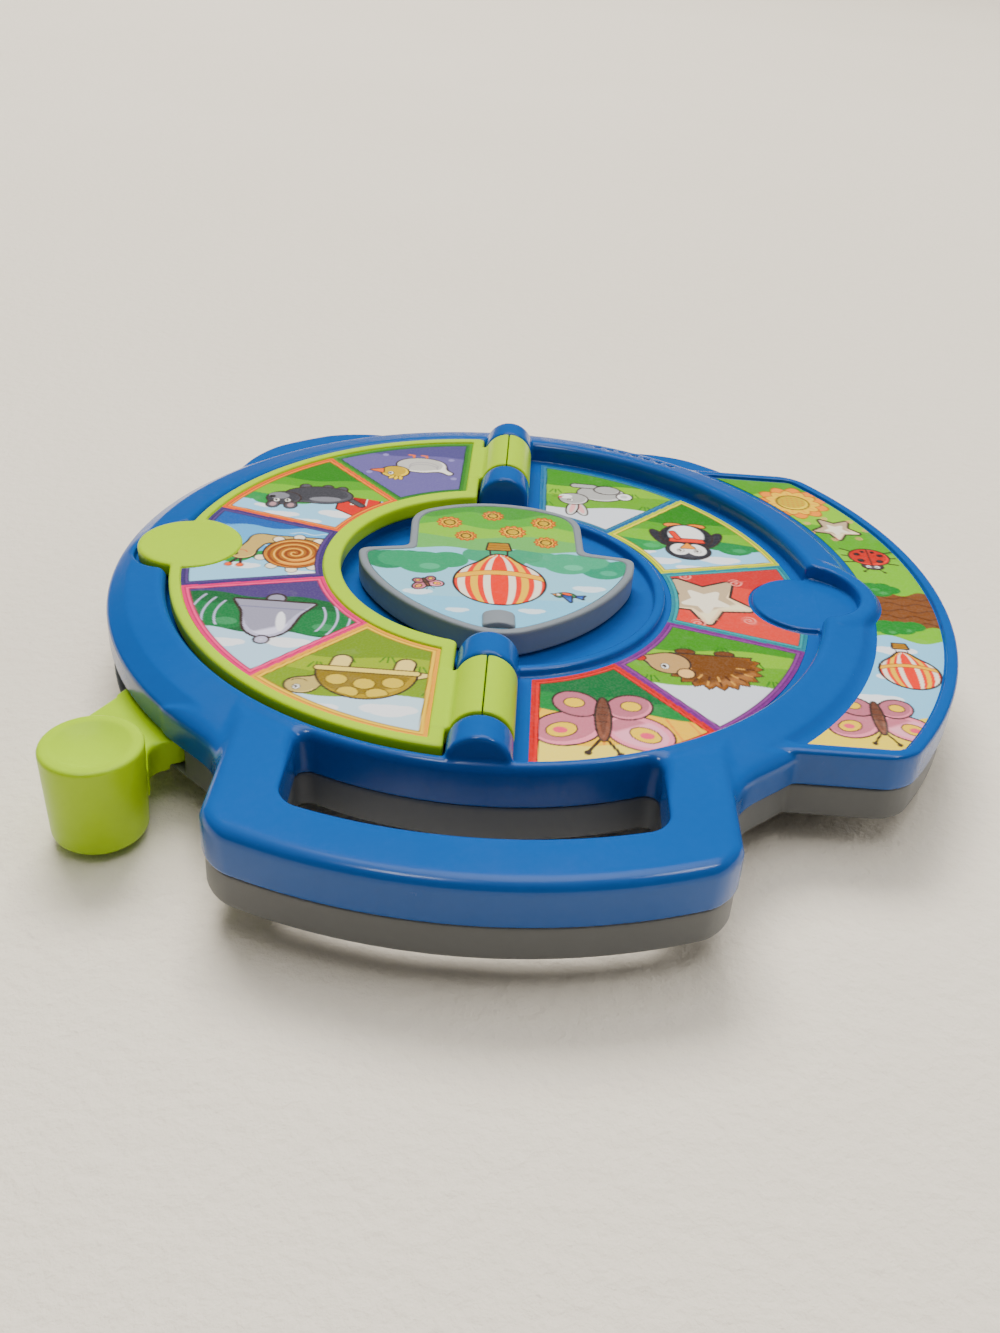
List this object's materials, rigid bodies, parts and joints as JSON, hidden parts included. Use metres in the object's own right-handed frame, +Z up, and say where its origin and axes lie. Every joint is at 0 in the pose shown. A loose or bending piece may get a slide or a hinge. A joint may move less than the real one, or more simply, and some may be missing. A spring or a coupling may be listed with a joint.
{
  "type": "animal sound spinner toy",
  "caption": "Flat round talking toy with a centre spinner in the shape of a pointer, a half-round flip page, a side lever with a knob and a carry handle.",
  "frame": {"origin": "on the spinner axis, at the plane the toy rests on", "axes": "+Z up along the spinner axis, +Y towards the carry handle, +X towards the flip page and the lever"},
  "size_m": [0.2593, 0.2662, 0.0399],
  "materials": {
    "blue_shell": "glossy moulded plastic, blue",
    "gray_shell": "satin moulded plastic, gray",
    "lime_part": "glossy moulded plastic, lime green",
    "pointer_gray": "satin moulded plastic, cool gray",
    "print": "printed label film, semi-gloss",
    "screw_steel": "zinc plated",
    "pin_steel": "drawn wire",
    "contact_metal": "nickel plated",
    "cell_jacket": "printed cell jacket, plain",
    "board": "solder mask",
    "chip_resin": "cast resin",
    "glass_body": "glass tube",
    "switch_black": "moulded, black",
    "speaker_steel": "pressed steel",
    "magnet_ferrite": "sintered ferrite",
    "cone_paper": "pressed paper",
    "wire_skin": "flexible insulation",
    "gear_white": "moulded acetal",
    "wiper_brass": "stamped",
    "bush_bronze": "sintered"
  },
  "bodies": {
    "housing": {"top_housing": "blue_shell", "bottom_housing": "gray_shell", "battery_door": "gray_shell", "battery_door_screw": "screw_steel", "housing_screws": "screw_steel", "batteries": "cell_jacket", "battery_plates": "contact_metal", "battery_springs": "contact_metal", "circuit_board": "board", "sound_chip": "chip_resin", "reed_switch": "glass_body", "power_switch": "switch_black", "speaker_frame": "speaker_steel", "speaker_magnet": "magnet_ferrite", "speaker_cone": "cone_paper", "battery_wires": "wire_skin", "speaker_wires": "wire_skin", "base_pictures_left": "print", "base_pictures_right": "print", "mural_picture": "print", "hinge_pins": "pin_steel", "spinner_bush": "bush_bronze", "position_board": "board", "lever_spring": "pin_steel", "idler_axle": "pin_steel"},
    "page": {"flip_page": "lime_part", "hinge_caps": "lime_part", "page_front_pictures": "print", "page_back_pictures": "print", "page_magnet": "magnet_ferrite"},
    "spinner": {"spinner_tray": "pointer_gray", "spinner_picture": "print", "pointer_tip": "pointer_gray", "spinner_shaft": "pin_steel", "clutch_drum": "gear_white", "wiper_disc": "wiper_brass"},
    "lever": {"lever_arm": "lime_part", "lever_knob": "lime_part", "lever_guard": "gray_shell"},
    "idler": {"idler_gear": "gear_white"},
    "drive": {"drive_pinion": "gear_white", "clutch_spring": "pin_steel"},
    "slider": {"switch_slider": "switch_black"}
  },
  "joints": [
    {"name": "page_hinge", "type": "hinge", "parent": "housing", "child": "page", "pos_m": [0, 0, 0.0313], "axis": [0, -1, 0], "range_deg": [0, 180]},
    {"name": "spinner_turn", "type": "hinge", "parent": "housing", "child": "spinner", "pos_m": [0, 0, 0.03], "axis": [0, 0, 1], "continuous": true},
    {"name": "lever_swing", "type": "hinge", "parent": "housing", "child": "lever", "pos_m": [0, 0, 0.012], "axis": [0, 0, -1], "range_deg": [0, 30], "stiffness_Nm_per_rad": 0.05, "springref_deg": -11.46},
    {"name": "idler_turn", "type": "hinge", "parent": "housing", "child": "idler", "pos_m": [-0.048, 0, 0.015], "axis": [0, 0, -1], "range_deg": [-150, 0]},
    {"name": "drive_turn", "type": "hinge", "parent": "housing", "child": "drive", "pos_m": [0, 0, 0.015], "axis": [0, 0, -1], "range_deg": [0, 600]},
    {"name": "power_slide", "type": "slide", "parent": "housing", "child": "slider", "axis": [1, 0, 0], "range_m": [0, 0.0062]}
  ],
  "couplings": [
    {"joint": "idler_turn", "follows": "lever_swing", "ratio": -5},
    {"joint": "drive_turn", "follows": "lever_swing", "ratio": 20}
  ]
}
